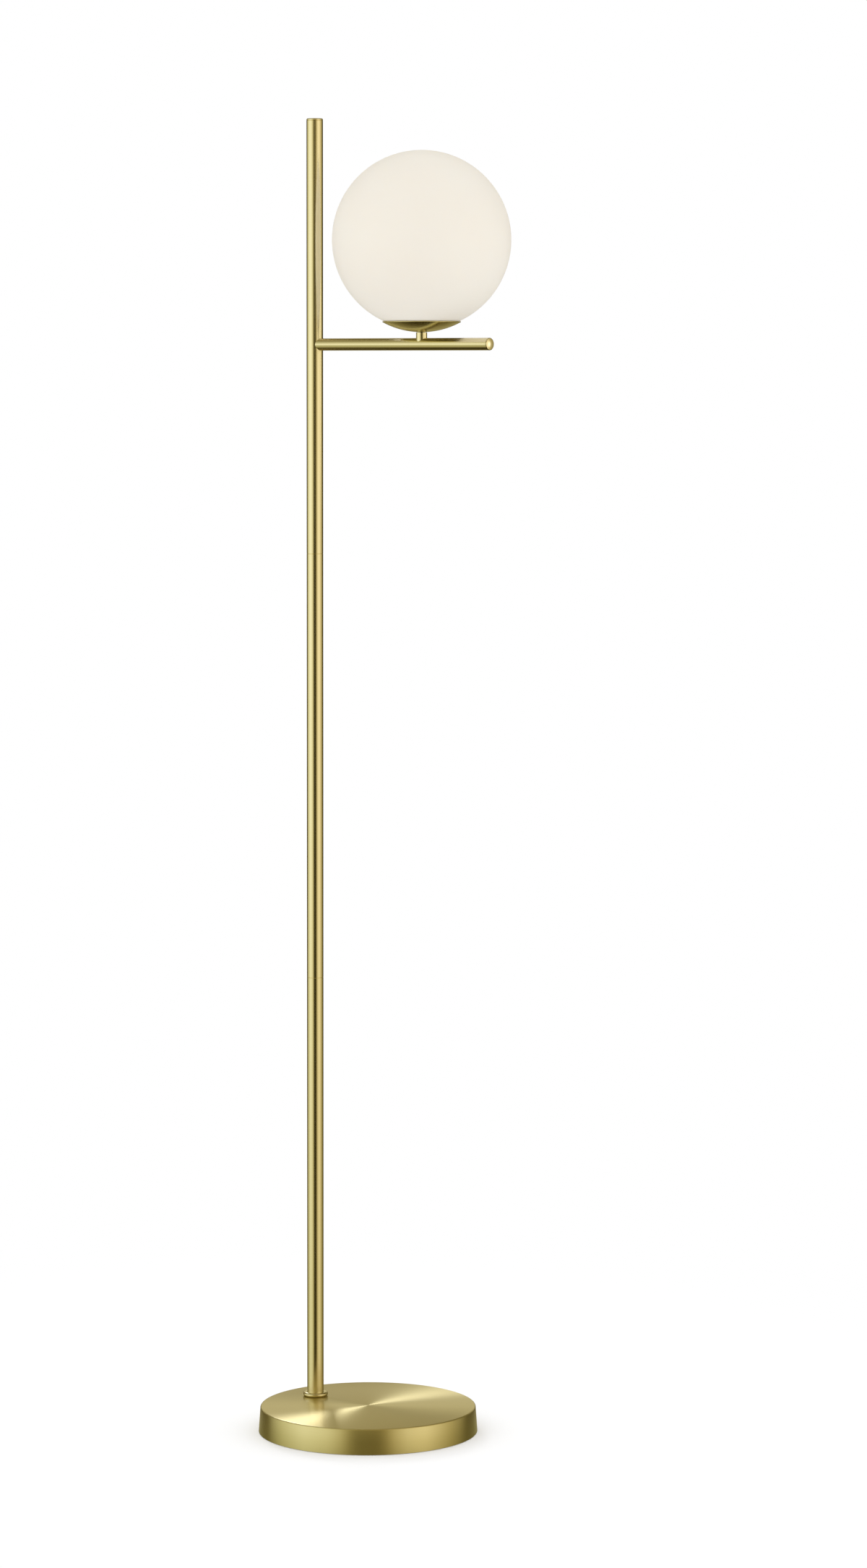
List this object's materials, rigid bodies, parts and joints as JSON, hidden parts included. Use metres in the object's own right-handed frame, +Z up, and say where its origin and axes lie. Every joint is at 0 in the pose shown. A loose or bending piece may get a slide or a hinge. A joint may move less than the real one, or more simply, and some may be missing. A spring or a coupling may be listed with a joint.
{
  "type": "globe floor lamp",
  "caption": "Floor lamp with a round weighted base, an off-centre pole in screwed sections, a horizontal arm and an opal glass globe that lifts off a shallow dish.",
  "frame": {"origin": "centre of the underside of the base, on the floor", "axes": "+Z up along the pole, +X along the arm from the pole to the globe, +Y to the left of the arm"},
  "size_m": [0.3069, 0.25, 1.5],
  "materials": {
    "brushed_brass": "brushed satin",
    "cast_iron": "as cast",
    "zinc_steel": "zinc plated",
    "turned_brass": "turned",
    "spring_steel": "bright",
    "foam_pad": "matte foam",
    "black_plastic": "matte",
    "white_plastic": "matte",
    "clear_silicone": "satin silicone",
    "opal_glass": "satin etched opal",
    "frosted_dome": "frosted",
    "nickel": "nickel plated",
    "lead_sheath": "satin"
  },
  "bodies": {
    "stand": {"base_cover": "brushed_brass", "base_weight": "cast_iron", "base_plate": "zinc_steel", "base_plate_screws": "zinc_steel", "floor_pad": "foam_pad", "cord_bush": "black_plastic", "cord_clamp": "black_plastic", "clamp_bar": "black_plastic", "clamp_screws": "zinc_steel", "terminal_block": "white_plastic", "terminal_screws": "nickel", "pole_collar": "brushed_brass", "foot_nipple": "zinc_steel", "foot_washer": "zinc_steel", "foot_lock_washer": "spring_steel", "foot_nut": "zinc_steel", "foot_socket": "turned_brass", "lower_tube": "brushed_brass", "middle_tube": "brushed_brass", "upper_tube": "brushed_brass", "lower_joint_socket": "turned_brass", "lower_joint_spigot": "turned_brass", "upper_joint_socket": "turned_brass", "upper_joint_spigot": "turned_brass", "pole_cap": "brushed_brass", "arm_tube": "brushed_brass", "arm_bush": "white_plastic", "arm_end_cap": "brushed_brass", "globe_stem": "brushed_brass", "stem_nipple": "zinc_steel", "dish": "brushed_brass", "globe_gasket": "clear_silicone", "dish_spacer": "turned_brass", "gallery_plate": "zinc_steel", "gallery_lock_washer": "spring_steel", "gallery_nut": "zinc_steel", "globe_clips": "spring_steel", "clip_rivets": "nickel", "holder_cap": "white_plastic", "holder_body": "white_plastic", "holder_insulator": "white_plastic", "holder_screws": "nickel", "holder_shell": "turned_brass", "holder_contact": "turned_brass", "inner_lead": "lead_sheath"},
    "globe": {"globe": "opal_glass"},
    "bulb_carrier": {"bulb_contact": "nickel"},
    "bulb": {"bulb_insulator": "black_plastic", "bulb_cap": "nickel", "bulb_housing": "white_plastic", "bulb_dome": "frosted_dome"}
  },
  "joints": [
    {"name": "globe_lift", "type": "slide", "parent": "stand", "child": "globe", "axis": [0, 0, 1], "range_m": [0, 0.12]},
    {"name": "bulb_rise", "type": "slide", "parent": "stand", "child": "bulb_carrier", "axis": [0, 0, 1], "range_m": [0, 0.0142]},
    {"name": "bulb_turn", "type": "hinge", "parent": "bulb_carrier", "child": "bulb", "pos_m": [0.08, 0, 1.3], "axis": [0, 0, 1], "range_deg": [0, 1800]}
  ],
  "couplings": [
    {"joint": "bulb_rise", "follows": "bulb_turn", "m_per_rad": 0.00044882}
  ]
}
